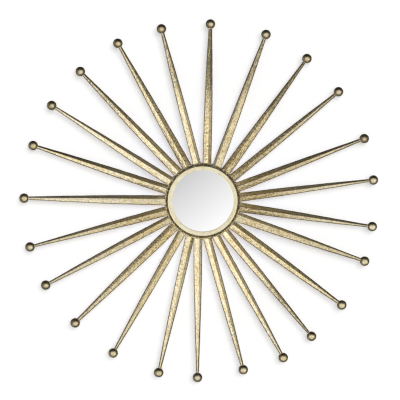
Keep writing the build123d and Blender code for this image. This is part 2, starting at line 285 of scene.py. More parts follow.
# ------------------------------------------------------------------ bars and balls
def hammered_section(bar, length, along, around, seed):
    """Points of the bar's sections, a soft diamond on its corner with hammer dents.
    Returns x, y and the fields of large and small dents."""
    share = along / length
    half = half_diagonal(bar, share)
    half = half * (1 + 0.012 * noise1(along / 17.0, seed) + 0.010 * noise1(along / 6.0, seed + 5))
    # the superellipse's power: 1 is a diamond, 2 is round
    power = 1.09 + 0.15 * share + 0.02 * noise1(along / 30.0, seed + 7)
    roll = math.radians(bar.roll) + np.radians(1.6) * noise1(along / 38.0, seed + 9)
    angle = np.linspace(0, 2 * math.pi, along.shape[1], endpoint=False) + 0.5 * math.pi
    cos_a, sin_a = np.cos(angle)[None, :], np.sin(angle)[None, :]
    x = np.sign(cos_a) * np.abs(cos_a) ** (2 / power) * half
    y = np.sign(sin_a) * np.abs(sin_a) ** (2 / power) * half
    # outward direction of the section before the roll
    out_x = np.sign(cos_a) * np.abs(x / half + 1e-9) ** (power - 1)
    out_y = np.sign(sin_a) * np.abs(y / half + 1e-9) ** (power - 1)
    size = np.hypot(out_x, out_y)
    out_x, out_y = out_x / size, out_y / size
    taper = np.clip(half / 6.0, 0.35, 1.0)
    # the hammer marks lie on the flats and spare the four corners
    corner = np.maximum(np.abs(cos_a), np.abs(sin_a))
    flat = 1 - 0.75 * smoothstep(0.90, 1.0, corner)
    big = dent_field(along, around, cells_around=10, cell_length=5.0, seed=seed + 20)
    small = dent_field(along, around, cells_around=18, cell_length=2.9, seed=seed + 40, reach=0.7)
    depth = (0.25 + 0.75 * bar.texture) * taper * flat * (0.85 * big + 0.36 * small)
    x, y = x - out_x * depth, y - out_y * depth
    cos_r, sin_r = np.cos(roll), np.sin(roll)
    return x * cos_r + y * sin_r, -x * sin_r + y * cos_r, big, small


def grind_roots(index, line, along, x):
    """Cuts the bar back at the mid-lines to its neighbours, so that roots don't meet."""
    inner_r, outer_r, clearance = 80.0, 150.0, 0.27
    bar = BARS[index]
    for step in (-1, 1):
        other = BARS[(index + step) % len(BARS)]
        near = between_bars(bar, other, inner_r) - line.start
        far = between_bars(bar, other, outer_r) - line.start
        near_t, near_x = float(near @ line.u), float(near @ line.side)
        far_t, far_x = float(far @ line.u), float(far @ line.side)
        sign = np.sign(far_x)
        limit = near_x + (far_x - near_x) * (along - near_t) / (far_t - near_t) - sign * clearance
        x = np.where(sign * (x - limit) > 0, limit, x)
    return x


def bar_attributes(bar, index, length, along, x, y, big, small, seed):
    """Values for the leaf material, with two more for the points that close the ends.
    wear: dent, side edge, share of length. finish: tarnish, texture, deep colour.
    grain: place along and across the bar in mm, moved on by a step for each bar."""
    share = along / length
    # distance in from the silhouette, for the dark line along both sides: leaf worn off the edges,
    # and painted shade where the sides turn away
    inset = np.maximum(np.abs(x).max(1, keepdims=True) - np.abs(x), 0)
    edge = 1 - smoothstep(0.0, 1.0, (inset - (0.7 + 1.0 * share)) / (1.2 + 0.7 * share))
    dent = np.clip(0.75 * big + 0.35 * small, 0, 1)
    spread = smoothstep(0.10, 0.66, share + 0.05 * noise1(along / 21.0, seed + 60))
    tarnish = bar.tarnish * spread + 0.05 * share
    texture = bar.texture / 2 * (1 - 0.12 * share)
    deep = np.clip(0.02 + 0.62 * (bar.texture - 0.5) / 0.8, 0.0, 0.6) * (1 - 0.6 * share)
    shift = 400.0 * index

    def pack(channels, root, tip):
        return np.vstack([np.stack(channels, -1).reshape(-1, 3), [root, tip]])

    return {
        "wear": pack([dent, edge, share], root=[0, 1, 0], tip=[0, 1, 1]),
        "grain": pack([along + shift, x, y], root=[shift, 0, 0], tip=[length + shift, 0, 0]),
        "finish": pack([tarnish, texture, deep], root=[0, 0.5, 0], tip=[0.5, 0.5, 0]),
    }


def make_bar(index):
    bar = BARS[index]
    line = bar_line(bar)
    start, u, side, length, _ = line
    rows = 250
    cols = 64
    seed = 101 + 17 * index
    ball_lap, tip_mid_lap = 0.12, 0.15  # how far the tip's rim and middle enter the ball
    share = np.linspace(0, 1, rows)[:, None]
    along = np.repeat(share * length, cols, 1)  # first guess of the place along the bar
    around = np.repeat((np.arange(cols) / cols)[None, :], rows, 0)
    for _ in range(2):  # the ends follow the hoop and the ball
        x, y, _, _ = hammered_section(bar, length, along, around, seed)
        root = run_to_radius(start, u, ROOT_R, x[0])
        tip = length - np.sqrt(np.clip(BALL_R**2 - x[-1] ** 2 - y[-1] ** 2, 1, None)) + ball_lap
        along = root[None, :] + (tip - root)[None, :] * share
    x, y, big, small = hammered_section(bar, length, along, around, seed)
    x = grind_roots(index, line, along, x)
    # a small worn bevel round the square-cut root
    bevel_length, bevel_depth = 0.9, 0.075
    near = np.clip(1 - (along - root[None, :]) / bevel_length, 0, 1)
    shrink = 1 - bevel_depth * near**2
    x, y = x * shrink, y * shrink
    verts = np.stack([
        start[0] + u[0] * along + side[0] * x,
        BAR_Y - y,
        start[1] + u[1] * along + side[1] * x,
    ], -1).reshape(-1, 3)
    # close the ends with a fan round a middle point
    root_mid = verts[:cols].mean(0)
    root_mid[[0, 2]] *= ROOT_R / math.sqrt(root_mid[0] ** 2 + root_mid[2] ** 2)
    tip_x, tip_z = start + u * (length - BALL_R + tip_mid_lap)
    verts = np.vstack([verts, root_mid, [tip_x, BAR_Y, tip_z]])
    root_index = rows * cols
    last = (rows - 1) * cols
    faces = grid_faces(rows, cols)
    faces += [(k, root_index, (k + 1) % cols) for k in range(cols)]
    faces += [(last + k, last + (k + 1) % cols, root_index + 1) for k in range(cols)]
    attrs = bar_attributes(bar, index, length, along, x, y, big, small, seed)
    obj = mesh_object(f"forged_bar_{index + 1:02d}", verts, faces, attrs)
    face_outward(obj)
    return obj


def make_ball(index):
    """A slightly uneven ball, with the same attributes as the bars."""
    ball_x, ball_z = bar_line(BARS[index]).ball
    unit, triangles = unit_sphere(5)
    seed = 901 + 13 * index
    radius = BALL_R * (
        1
        + 0.006 * noise3(unit * 1.3 + 5, seed)
        + 0.004 * noise3(unit * 3.1 + 9, seed + 1)
        - 0.0035 * np.clip(noise3(unit * 7.0 + 3, seed + 2), 0, 1)
    )
    radius = np.minimum(radius, BALL_R * 1.004)
    dent = np.clip(noise3(unit * 6.0, seed + 3) * 0.8, 0, 1)
    finish = [BALL_TARNISH_AND_SHADE[index], 0.5, 0.3 * hash01(index, 77)]
    attrs = {
        "wear": np.stack([dent, np.zeros(len(unit)), np.ones(len(unit))], -1),
        "grain": unit * BALL_R + np.array([50.0 * index, 0, 0]),
        "finish": np.tile(finish, (len(unit), 1)),
    }
    verts = np.array([ball_x, BAR_Y, ball_z]) + unit * radius[:, None]
    return mesh_object(f"tip_ball_{index + 1:02d}", verts, triangles.tolist(), attrs)


# ------------------------------------------------------------------ turned pieces
def lathe(name, profile, segments, wobble):
    """Turns a closed loop of (radius, y) points round the Y axis.
    wobble(radius, y, angle) moves the points a little."""
    profile = np.array(profile, float)
    count = len(profile)
    angles = np.linspace(0, 2 * math.pi, segments, endpoint=False)
    radius = np.repeat(profile[None, :, 0], segments, 0)
    y = np.repeat(profile[None, :, 1], segments, 0)
    angle = np.repeat(angles[:, None], count, 1)
    radius, y = wobble(radius, y, angle)
    verts = np.stack([radius * np.cos(angle), y, radius * np.sin(angle)], -1).reshape(-1, 3)
    obj = mesh_object(name, verts, grid_faces(segments, count, closed=True))
    face_outward(obj)
    return obj


def rounded(outline):
    """Rounds the corners of a closed loop of (radius, y, corner rounding)."""
    points = [np.array(row[:2], float) for row in outline]
    loop = []
    for i, point in enumerate(points):
        rounding = outline[i][2]
        if rounding <= 0:
            loop.append(point)
            continue
        back, ahead = points[i - 1] - point, points[(i + 1) % len(points)] - point
        back_len, ahead_len = np.linalg.norm(back), np.linalg.norm(ahead)
        cut = min(rounding, 0.45 * back_len, 0.45 * ahead_len)
        first, last = point + back / back_len * cut, point + ahead / ahead_len * cut
        for step in range(CORNER_STEPS + 1):
            t = step / CORNER_STEPS
            loop.append((1 - t) ** 2 * first + 2 * t * (1 - t) * point + t * t * last)
    return loop


def dense(points, spacing):
    """Resamples a closed loop of points."""
    loop = []
    for a, b in zip(points, points[1:] + points[:1]):
        count = max(1, int(round(np.linalg.norm(b - a) / spacing)))
        loop += [a + (b - a) * i / count for i in range(count)]
    return loop


def ring_noise(angle, radius, seed, scale, radial=0):
    """Noise round a ring; radial sets how fast it changes with the radius."""
    points = np.stack([
        np.cos(angle).ravel() * scale,
        np.sin(angle).ravel() * scale,
        (radius * radial).ravel() * 0.35,
    ], -1)
    return noise3(points + 11.0, seed).reshape(angle.shape)


def make_bezel():
    def wobble(radius, y, angle):
        """Uneven only at the front, and never outside the outline at the outer wall."""
        front = np.clip(-y - 30.5, 0, 1)
        dy = 0.12 * ring_noise(angle, radius, seed=3, scale=3.0)
        dy = dy + 0.10 * ring_noise(angle, radius, seed=4, scale=16.0, radial=2)
        dr = 0.12 * ring_noise(angle, radius, seed=5, scale=4.0)
        dr = dr + 0.06 * ring_noise(angle, radius, seed=6, scale=17.0)
        shift = np.where(radius > 72.6, -np.abs(dr), np.abs(dr) * 0.6)
        return radius + shift * front, y + np.abs(dy) * front

    loop = dense(rounded(BEZEL_OUTLINE), 0.6)
    return lathe("bezel_leafed", loop, 480, wobble)


def make_felt():
    def wobble(radius, y, angle):
        """Rough towards the wall, without passing through it."""
        back = np.clip((y + 1.6) / 1.6, 0, 1)
        rough = (
            ring_noise(angle, radius, seed=31, scale=60.0, radial=3) * 0.10
            + ring_noise(angle, radius, seed=32, scale=18.0, radial=2) * 0.08
        )
        outward = np.sign(radius - 76.0)
        return radius + outward * rough * 0.9 * back, np.minimum(y - np.abs(rough) * back, 0.0)

    loop = dense(rounded(FELT_OUTLINE), 0.5)
    return lathe("felt_wall_ring", loop, 480, wobble)


def make_foam():
    def wobble(radius, y, angle):
        rim = smoothstep(60.0, 66.0, radius)
        return radius + 0.15 * rim * ring_noise(angle, radius, seed=33, scale=30.0), y

    loop = dense(rounded(FOAM_OUTLINE), 1.6)
    obj = lathe("foam_backing", loop, 240, wobble)
    # close the small middle opening left by the lathe (lengths here are in metres)
    bm = bmesh.new()
    bm.from_mesh(obj.data)
    bmesh.ops.remove_doubles(bm, verts=bm.verts, dist=1e-6)
    for vert in bm.verts:
        if math.hypot(vert.co.x, vert.co.z) < 0.00045:
            vert.co.x = vert.co.z = 0.0
    bmesh.ops.remove_doubles(bm, verts=bm.verts, dist=1e-6)
    bmesh.ops.dissolve_degenerate(bm, edges=bm.edges, dist=1e-7)
    loose = [e for e in bm.edges if not e.link_faces]
    bmesh.ops.delete(bm, geom=loose, context="EDGES")
    bmesh.ops.recalc_face_normals(bm, faces=bm.faces)
    bm.to_mesh(obj.data)
    bm.free()
    return obj


# ------------------------------------------------------------------ weld metal
def melt_lumps(name, lumps, voxel):
    """Melts many small balls (x, y, z, radius) into one skin."""
    unit, triangles = unit_sphere(2)
    verts = [unit * r + np.array([x, y, z]) for x, y, z, r in lumps]
    faces = [triangles + i * len(unit) for i in range(len(lumps))]
    raw = mesh_object(name + "_raw", np.vstack(verts), np.vstack(faces).tolist())
    melt = raw.modifiers.new("melt", "REMESH")
    melt.mode = "VOXEL"
    melt.voxel_size = voxel * MM
    melt.use_smooth_shade = True
    soften = raw.modifiers.new("soften", "SMOOTH")
    soften.factor = 0.6
    soften.iterations = 4
    depsgraph = bpy.context.evaluated_depsgraph_get()
    mesh = bpy.data.meshes.new_from_object(raw.evaluated_get(depsgraph))
    mesh.name = name
    bpy.data.objects.remove(raw)
    return add_object(name, mesh)


def make_root_welds():
    rng = np.random.default_rng(77)
    lumps = []
    # a ragged fillet where each square-cut root meets the hoop
    for bar in BARS:
        start, u, side, _, _ = bar_line(bar)
        half = float(half_diagonal(bar, 0.02)) * math.cos(math.radians(bar.roll)) * 0.95
        x = -half
        while x < half:
            t = run_to_radius(start, u, ROOT_R - rng.uniform(0.0, 0.8), x)
            px, pz = start + u * t + side * x
            lumps.append((px, HOOP_FRONT_Y - rng.uniform(0.0, 0.7), pz, rng.uniform(0.8, 1.4)))
            x += rng.uniform(0.8, 1.6)
    # beads between neighbouring roots, on the hoop's outer wall
    for i, bar in enumerate(BARS):
        mid = between_bars(bar, BARS[i - 1], 80.2)
        mid *= (HOOP_OUT_R + 0.3) / np.linalg.norm(mid)
        for _ in range(5):
            y = rng.uniform(-17.5, -8.0)
            px = mid[0] + rng.uniform(-0.6, 0.6)
            pz = mid[1] + rng.uniform(-0.6, 0.6)
            lumps.append((px, y, pz, rng.uniform(0.8, 1.4)))
    # spatter and tacks on the hoop's front edge, beside the bezel
    for _ in range(230):
        angle = rng.uniform(0, 2 * math.pi)
        r = rng.uniform(73.7, 78.6)
        px, pz = r * math.cos(angle), r * math.sin(angle)
        lumps.append((px, HOOP_FRONT_Y - 0.05, pz, rng.uniform(0.45, 1.05)))
    return melt_lumps("root_weld_beads", lumps, voxel=0.36)


def make_tip_welds():
    """A ring of beads where each bar meets its ball."""
    rng = np.random.default_rng(78)
    beads = 18
    lumps = []
    for bar in BARS:
        start, u, side, length, _ = bar_line(bar)
        ring_r = float(half_diagonal(bar, 0.97)) * 0.82
        t = length - math.sqrt(BALL_R**2 - ring_r**2) - 0.05
        for k in range(beads):
            angle = 2 * math.pi * k / beads + rng.uniform(-0.1, 0.1)
            px, pz = start + u * (t + rng.uniform(-0.15, 0.15)) + side * ring_r * math.cos(angle)
            lumps.append((px, BAR_Y + ring_r * math.sin(angle), pz, rng.uniform(0.62, 0.95)))
    return melt_lumps("tip_weld_beads", lumps, voxel=0.34)


# ------------------------------------------------------------------ node trees
class Tree:
    """Builds the node tree of a material or a world. Inputs take numbers or sockets."""

    def __init__(self, owner, output):
        owner.use_nodes = True
        self.tree = owner.node_tree
        self.tree.nodes.clear()
        self.out = self.node(output)

    def put(self, socket, value):
        if isinstance(value, bpy.types.NodeSocket):
            self.tree.links.new(value, socket)
        elif socket.type == "RGBA":
            socket.default_value = (*value, 1.0)
        else:
            socket.default_value = value

    def node(self, kind, inputs=None, **settings):
        made = self.tree.nodes.new("ShaderNode" + kind)
        for key, value in settings.items():
            setattr(made, key, value)
        for key, value in (inputs or {}).items():
            self.put(made.inputs[key], value)
        return made

    def calc(self, operation, a, b, clamp=False):
        made = self.node("Math", {0: a, 1: b}, operation=operation, use_clamp=clamp)
        return made.outputs[0]

    def add(self, a, b, clamp=False):
        return self.calc("ADD", a, b, clamp)

    def sub(self, a, b):
        return self.calc("SUBTRACT", a, b)

    def mul(self, a, b, clamp=False):
        return self.calc("MULTIPLY", a, b, clamp)

    def most(self, a, b):
        return self.calc("MAXIMUM", a, b)

    def vector(self, operation, inputs, out="Vector"):
        return self.node("VectorMath", inputs, operation=operation).outputs[out]

    def step(self, value, start, end, low=0.0, high=1.0):
        """Eases from low to high as the value goes from start to end."""
        inputs = {
            "Value": value, "From Min": start, "From Max": end, "To Min": low, "To Max": high,
        }
        return self.node("MapRange", inputs, interpolation_type="SMOOTHSTEP").outputs[0]

    def mix(self, share, a, b):
        return self.node("Mix", {0: share, 6: a, 7: b}, data_type="RGBA").outputs[2]

    def noise(self, scale, detail=2.0, rough=0.5, vec=None, dist=0.0):
        return self.node("TexNoise", {
            "Scale": scale, "Detail": detail, "Roughness": rough, "Distortion": dist,
            "Vector": vec or self.pos,
        }).outputs[0]

    def split(self, color):
        return self.node("SeparateColor", {0: color}).outputs

    def split_xyz(self, vector):
        return self.node("SeparateXYZ", {0: vector}).outputs

    def combine(self, red, green, blue):
        return self.node("CombineColor", {0: red, 1: green, 2: blue}).outputs[0]

    def shader(self, kind, inputs=None):
        return self.node(kind, inputs).outputs[0]

    def finish(self, shader):
        self.put(self.out.inputs["Surface"], shader)


def new_tree(name):
    """A material and its empty tree."""
    material = bpy.data.materials.new(name)
    return material, Tree(material, "OutputMaterial")


class Mat(Tree):
    """A material with one Principled shader. Scales are per mm of the object's frame."""

    def __init__(self, name):
        self.material = bpy.data.materials.new(name)
        super().__init__(self.material, "OutputMaterial")
        self.bsdf = self.node("BsdfPrincipled")
        self.finish(self.bsdf.outputs[0])
        place = self.node("TexCoord").outputs["Object"]
        self.pos = self.vector("SCALE", {0: place, "Scale": 1000.0})  # in mm

    def voronoi(self, scale, out="Distance"):
        return self.node("TexVoronoi", {"Scale": scale, "Vector": self.pos}).outputs[out]

    def stretch(self, factors, vec=None):
        return self.vector("MULTIPLY", {0: vec or self.pos, 1: factors})

    def attr(self, name, out="Color"):
        return self.node("Attribute", attribute_name=name).outputs[out]

    def bump(self, height, strength, depth, base=None):
        """depth is in mm."""
        inputs = {"Strength": strength, "Distance": depth * MM, "Height": height}
        if base is not None:
            inputs["Normal"] = base
        return self.node("Bump", inputs).outputs[0]

    def surface(self, **values):
        sockets = {
            "color": "Base Color", "metallic": "Metallic", "rough": "Roughness",
            "normal": "Normal", "sheen": "Sheen Weight", "tint": "Specular Tint",
        }
        for key, value in values.items():
            self.put(self.bsdf.inputs[sockets[key]], value)
        return self.material


# ------------------------------------------------------------------ metal leaf
LEAF_LIGHT = (0.95, 0.85, 0.66)
LEAF_WARM = (0.92, 0.78, 0.53)
LEAF_DEEP = (0.91, 0.71, 0.33)
LEAF_OLIVE = (0.70, 0.60, 0.27)
LEAF_FRESH_AND_LIT = (1.0, 0.92, 0.70)
GROUND = (0.042, 0.034, 0.011)
RIM_SHADE_LEAN = (0.09, 0.0, -0.10)

# the channels of the wear and finish attributes; place is the share of the length
Wear = namedtuple("Wear", "dent edge place tarnish texture deep")


def leaf_color(m, light, olive):
    """Light leaf with warm and olive patches."""
    patch = m.noise(scale=0.060, detail=3.0, rough=0.55)
    cloud = m.noise(scale=0.12, detail=3.0, rough=0.6, dist=0.6)
    cell = m.split(m.voronoi(scale=0.085, out="Color"))[1]
    warmth = m.step(patch, start=0.36, end=0.64, high=0.5 + 0.5 * olive)
    color = m.mix(warmth, light, LEAF_WARM)
    color = m.mix(m.step(cloud, start=0.48, end=0.72, high=0.75 * olive), color, LEAF_OLIVE)
    return m.mix(m.mul(cell, 0.22 * olive), color, LEAF_OLIVE)


def wear_and_edge_shade(m, loss, wear, speck, pin, fine, edge_gain, dent_gain):
    """Adds loss in the dents, along the side edges, which is worn leaf and painted shade, and where
    tarnish spreads.
    """
    hollow = m.step(m.add(wear.dent, m.mul(pin, 0.6)), start=0.62, end=1.15)
    dents = m.mul(hollow, m.mul(wear.texture, 2.0 * dent_gain, clamp=True))
    ragged = m.mul(m.sub(speck, 0.5), 0.9)
    # the dark line along the sides is partly worn leaf and partly painted shade
    edge = m.mul(m.step(m.add(wear.edge, ragged), start=0.25, end=0.80), edge_gain)
    loss = m.most(loss, m.most(dents, edge))
    # tarnish spreads from the tips as dark specks that run together
    blotch = m.add(m.mul(pin, 0.5), m.mul(fine, 0.5))
    spread = m.add(blotch, m.mul(m.sub(wear.tarnish, 0.5), 0.50))
    return m.most(loss, m.mul(m.step(spread, start=0.47, end=0.63), 0.93))


def upward_painted_shade(m, loss, wear, pin, upward_shade):
    """Painted shade: darkens the faces that look up, standing in for the dark above that they
    reflect.
    """
    normal = m.node("NewGeometry").outputs["Normal"]
    up = m.add(m.split_xyz(normal)[2], m.mul(m.sub(pin, 0.5), 0.5))
    # less of this painted shade on the rough bars, and more towards the tips
    hold = m.sub(1.24, m.mul(wear.texture, 0.85))
    hold = m.mul(hold, m.add(m.mul(wear.place, 0.45), 0.80))
    held = m.mul(m.step(up, start=0.10, end=0.80), m.mul(hold, upward_shade), clamp=True)
    return m.most(loss, held)


def rim_painted_shade(m, loss, wear, speck, start, end, gain):
    """Painted shade: darkens a ball where it turns away from the eye, measured a little low and to
    the right, which leaves a painted highlight low and right of the middle."""
    geometry = m.node("NewGeometry").outputs
    lean = m.vector("ADD", {0: geometry["Incoming"], 1: RIM_SHADE_LEAN})
    lean = m.vector("NORMALIZE", {0: lean})
    facing = m.vector("DOT_PRODUCT", {0: lean, 1: geometry["Normal"]}, out="Value")
    away = m.sub(1.0, facing)
    # a higher tarnish value widens the painted shade and shrinks the painted highlight
    away = m.add(away, m.mul(m.sub(wear.tarnish, 0.15), 0.34))
    away = m.add(away, m.mul(m.sub(speck, 0.5), 0.12))
    return m.most(loss, m.mul(m.step(away, start, end), gain))


def leaf(name, speckle, light=LEAF_LIGHT, rough=0.19, worn=True, edge_gain=0.94,
         dent_gain=0.6, rim=None, relief=0.8, upward_shade=0.0, olive=1.0, crumbs=0.35, dark=0.0):
    """Antique metal leaf over a dark ground. loss is the share of leaf gone, and also carries
    painted shade on the faces that look up, along the bars' sides and round the balls' rims; worn
    pieces carry the wear, finish and grain attributes."""
    m = Mat(name)
    color = leaf_color(m, light, olive)
    along = m.stretch((0.45, 1.0, 1.0), m.attr("grain", "Vector")) if worn else m.pos
    speck = m.noise(scale=0.30, rough=0.65, vec=along, dist=0.4)
    pin = m.noise(scale=0.55, rough=0.6, vec=along)
    fine = m.noise(scale=1.3, detail=3.0, rough=0.65)
    share = speckle
    if worn:
        wear = Wear(*m.split(m.attr("wear")), *m.split(m.attr("finish")))
        color = m.mix(wear.deep, color, LEAF_DEEP)
        # painted light: the leaf is painted lighter next to the hub, against the shade there; it is
        # also fresher where the tarnish is below zero
        hub = m.step(wear.place, start=0.0, end=0.13, low=1.0, high=0.0)
        fresh_and_lit = m.most(hub, m.mul(wear.tarnish, -1.0))
        color = m.mix(m.mul(fresh_and_lit, 0.62), color, LEAF_FRESH_AND_LIT)
        share = m.mul(m.add(wear.texture, 0.12), speckle * 1.6)
    loss = m.mul(m.step(speck, start=0.46, end=0.66), 0.85)
    loss = m.most(loss, m.mul(m.step(pin, start=0.56, end=0.68), 0.95))
    loss = m.most(loss, m.mul(m.step(fine, start=0.60, end=0.75), 0.80))
    loss = m.mul(loss, share)
    if worn:
        loss = wear_and_edge_shade(m, loss, wear, speck, pin, fine, edge_gain, dent_gain)
    # painted shade on the faces that look up
    if upward_shade:
        loss = upward_painted_shade(m, loss, wear, pin, upward_shade)
    # painted shade round the balls' rims
    if rim:
        loss = rim_painted_shade(m, loss, wear, speck, **rim)
    # dark: dark patina together with painted shade, for the hoop in the groove behind the bezel
    if dark:
        loss = m.add(loss, dark, clamp=True)
    # crumbs of leaf still hold on in the dark places
    crumb = m.step(m.noise(scale=0.75, rough=0.6, vec=along), start=0.54, end=0.64)
    loss = m.mul(loss, m.sub(0.97, m.mul(crumb, crumbs)))
    # less loss next to the hub, as part of the painted light there
    if worn:
        loss = m.mul(loss, m.sub(1.0, m.mul(fresh_and_lit, 0.25)))
    roughness = m.add(m.mul(m.noise(scale=0.7), 0.16), rough - 0.08)
    strength = m.mul(wear.texture, 2.0 * relief, clamp=True) if worn else relief
    ripple = m.noise(scale=0.36, rough=0.55, vec=along, dist=0.3)
    bump = m.bump(ripple, strength=strength, depth=1.5)
    grit = m.noise(scale=1.1, detail=3.0, rough=0.6)
    return m.surface(
        color=m.mix(loss, color, GROUND),
        metallic=m.sub(1.0, m.mul(loss, 0.20)),
        rough=m.add(roughness, m.mul(loss, 0.10)),
        normal=m.bump(grit, strength=0.5, depth=0.15, base=bump),
        tint=m.mix(m.step(loss, start=0.15, end=0.75), (1.0, 1.0, 1.0), (0.14, 0.11, 0.05)),
    )


# ------------------------------------------------------------------ other materials
def mirror_material():
    m = Mat("silvered_glass")
    smudge = m.noise(scale=0.03, detail=4.0, rough=0.6, dist=0.8)
    fleck = m.noise(scale=0.9)
    smudges = m.step(smudge, start=0.4, end=0.8, high=0.25)
    color = m.mix(smudges, (0.876, 0.875, 0.877), (0.85, 0.85, 0.853))
    color = m.mix(m.step(fleck, start=0.74, end=0.8, high=0.3), color, (0.84, 0.84, 0.843))
    return m.surface(color=color, metallic=1.0, rough=0.0)


def black_material():
    """Black powder coat with dust, lint and hairs."""
    m = Mat("black_powder_coat")
    peel = m.noise(scale=0.45, rough=0.55)
    dust = m.noise(scale=0.05, detail=5.0, rough=0.70, dist=0.5)
    lint = m.noise(scale=1.4, detail=3.0, rough=0.65)
    upright = m.stretch((1.0, 1.0, 0.06))
    level = m.stretch((0.07, 1.0, 1.0))
    hair = m.noise(scale=0.22, detail=3.0, rough=0.7, vec=upright, dist=0.5)
    hair2 = m.noise(scale=0.20, detail=3.0, rough=0.7, vec=level, dist=0.6)
    color = m.mix(m.step(dust, start=0.42, end=0.68), (0.014, 0.014, 0.015), (0.052, 0.049, 0.045))
    color = m.mix(m.step(lint, start=0.60, end=0.72, high=0.5), color, (0.12, 0.115, 0.105))
    color = m.mix(m.step(hair, start=0.62, end=0.68, high=0.55), color, (0.15, 0.145, 0.135))
    color = m.mix(m.step(hair2, start=0.64, end=0.69, high=0.45), color, (0.13, 0.125, 0.12))
    bump = m.bump(peel, strength=0.7, depth=0.35)
    bump = m.bump(m.voronoi(scale=1.1), strength=0.3, depth=0.08, base=bump)
    rough = m.add(m.mul(dust, 0.40), 0.22)
    return m.surface(color=color, metallic=0.0, rough=rough, normal=bump)


def zinc_material(name, warm=0.0):
    m = Mat(name)
    grain = m.noise(scale=0.8, detail=3.0, rough=0.6, vec=m.stretch((0.25, 1.0, 3.0)))
    spangle = m.split(m.voronoi(scale=0.5, out="Color"))[0]
    stain = m.noise(scale=0.15, detail=3.0, rough=0.6)
    spots = m.step(m.noise(scale=1.1, detail=3.0), start=0.66, end=0.8, high=0.5)
    color = m.mix(m.mul(spangle, 0.35), (0.70, 0.71, 0.70), (0.52, 0.54, 0.56))
    color = m.mix(m.step(stain, start=0.45, end=0.75, high=0.35 + warm), color, (0.55, 0.50, 0.42))
    color = m.mix(spots, color, (0.20, 0.19, 0.17))
    rough = m.add(m.mul(grain, 0.22), 0.20)
    bump = m.bump(grain, strength=0.35, depth=0.05)
    return m.surface(color=color, metallic=1.0, rough=rough, normal=bump)


def felt_material():
    m = Mat("dark_felt")
    fibre = m.noise(scale=0.85, detail=5.0, rough=0.80, dist=2.2)
    drawn = m.stretch((1.0, 0.5, 0.3))
    strand = m.noise(scale=1.6, detail=3.0, rough=0.70, vec=drawn, dist=1.2)
    patch = m.noise(scale=0.12, detail=3.0, rough=0.6)
    color = m.mix(m.step(fibre, start=0.36, end=0.66), (0.014, 0.012, 0.010), (0.085, 0.077, 0.066))
    color = m.mix(m.step(strand, start=0.58, end=0.70, high=0.8), color, (0.19, 0.175, 0.15))
    color = m.mix(m.step(patch, start=0.5, end=0.8, high=0.4), color, (0.10, 0.092, 0.08))
    bump = m.bump(fibre, strength=1.0, depth=0.9)
    bump = m.bump(strand, strength=0.7, depth=0.4, base=bump)
    return m.surface(color=color, rough=0.95, sheen=0.5, normal=bump)


def foam_material():
    m = Mat("closed_cell_foam")
    cells = m.voronoi(scale=1.4)
    color = m.mix(m.step(cells, start=0.1, end=0.7), (0.05, 0.05, 0.052), (0.12, 0.12, 0.125))
    color = m.mix(m.mul(m.noise(scale=0.2, detail=3.0), 0.3), color, (0.16, 0.16, 0.16))
    return m.surface(color=color, rough=0.85, normal=m.bump(cells, strength=0.7, depth=0.2))


def board_material():
    m = Mat("fibreboard")
    drawn = m.stretch((1.0, 3.0, 1.0))
    fibre = m.noise(scale=0.9, detail=4.0, rough=0.7, vec=drawn, dist=0.8)
    layer = m.noise(scale=0.5, vec=m.stretch((0.1, 2.4, 0.1)))
    color = m.mix(fibre, (0.30, 0.19, 0.105), (0.50, 0.36, 0.22))
    color = m.mix(m.mul(layer, 0.4), color, (0.24, 0.15, 0.08))
    return m.surface(color=color, rough=0.82, normal=m.bump(fibre, strength=0.5, depth=0.1))


BAR_LEAF = leaf("gilded_bar", speckle=0.52, upward_shade=0.68, crumbs=0.42)
BALL_LEAF = leaf(
    "gilded_ball", speckle=0.35, light=(1.0, 0.895, 0.69), rough=0.24, edge_gain=0.0,
    dent_gain=0.3, rim={"start": 0.0, "end": 0.235, "gain": 0.97}, relief=0.15,
)
BEZEL_LEAF = leaf(
    "gilded_bezel", speckle=0.07, light=(1.0, 0.94, 0.695), rough=0.24, worn=False,
    relief=0.12, olive=0.38,
)
# the hoop's front sits in the groove behind the bezel: dark patina, deepened with painted shade
HOOP_LEAF = leaf("gilded_hoop_dark", dark=0.82, speckle=0.9, rough=0.42, worn=False, crumbs=0.15)
WELD_LEAF = leaf("gilded_weld", speckle=0.55, rough=0.30, worn=False, crumbs=0.30)
MIRROR = mirror_material()
BLACK = black_material()
ZINC = zinc_material("zinc_plate")
WIRE = zinc_material("zinc_wire", warm=0.1)
FELT = felt_material()
FOAM = foam_material()
BOARD = board_material()


# ------------------------------------------------------------------ assembly
def dress(obj, material, slot, *replaced):
    obj.data.materials.clear()
    obj.data.materials.append(material)
    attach(obj, ROOT)
    if replaced:
        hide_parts(*replaced)


def dress_node(name, material):
    """Gives a CAD piece that is kept as it is a material."""
    obj = nodes[name]
    if len(obj.material_slots) == 0:
        obj.data.materials.append(material)
    else:
        for slot in obj.material_slots:
            slot.material = material


for i in range(len(BARS)):
    dress(make_bar(i), BAR_LEAF, "gilded_rays", f"ray_{i + 1:02d}")
    dress(make_ball(i), BALL_LEAF, "gilded_balls", f"ball_{i + 1:02d}")
dress(make_bezel(), BEZEL_LEAF, "gilded_bezel", "bezel_ring")
dress(make_felt(), FELT, "felt", "wall_ring")
dress(make_foam(), FOAM, "foam", "foam_pad")
dress(make_root_welds(), WELD_LEAF, "dark_gilded_hoop")
dress(make_tip_welds(), WELD_LEAF, "gilded_balls")
for node_name, node_material in (
    ("hub_hoop", HOOP_LEAF),
    ("mirror_glass", MIRROR),
    ("backing_board", BOARD),
    ("back_plate", BLACK),
    ("back_plate_screws", ZINC),
    ("hanger_strap", ZINC),
    ("hanger_screws", ZINC),
    ("hanger_ring", WIRE),
):
    dress_node(node_name, node_material)

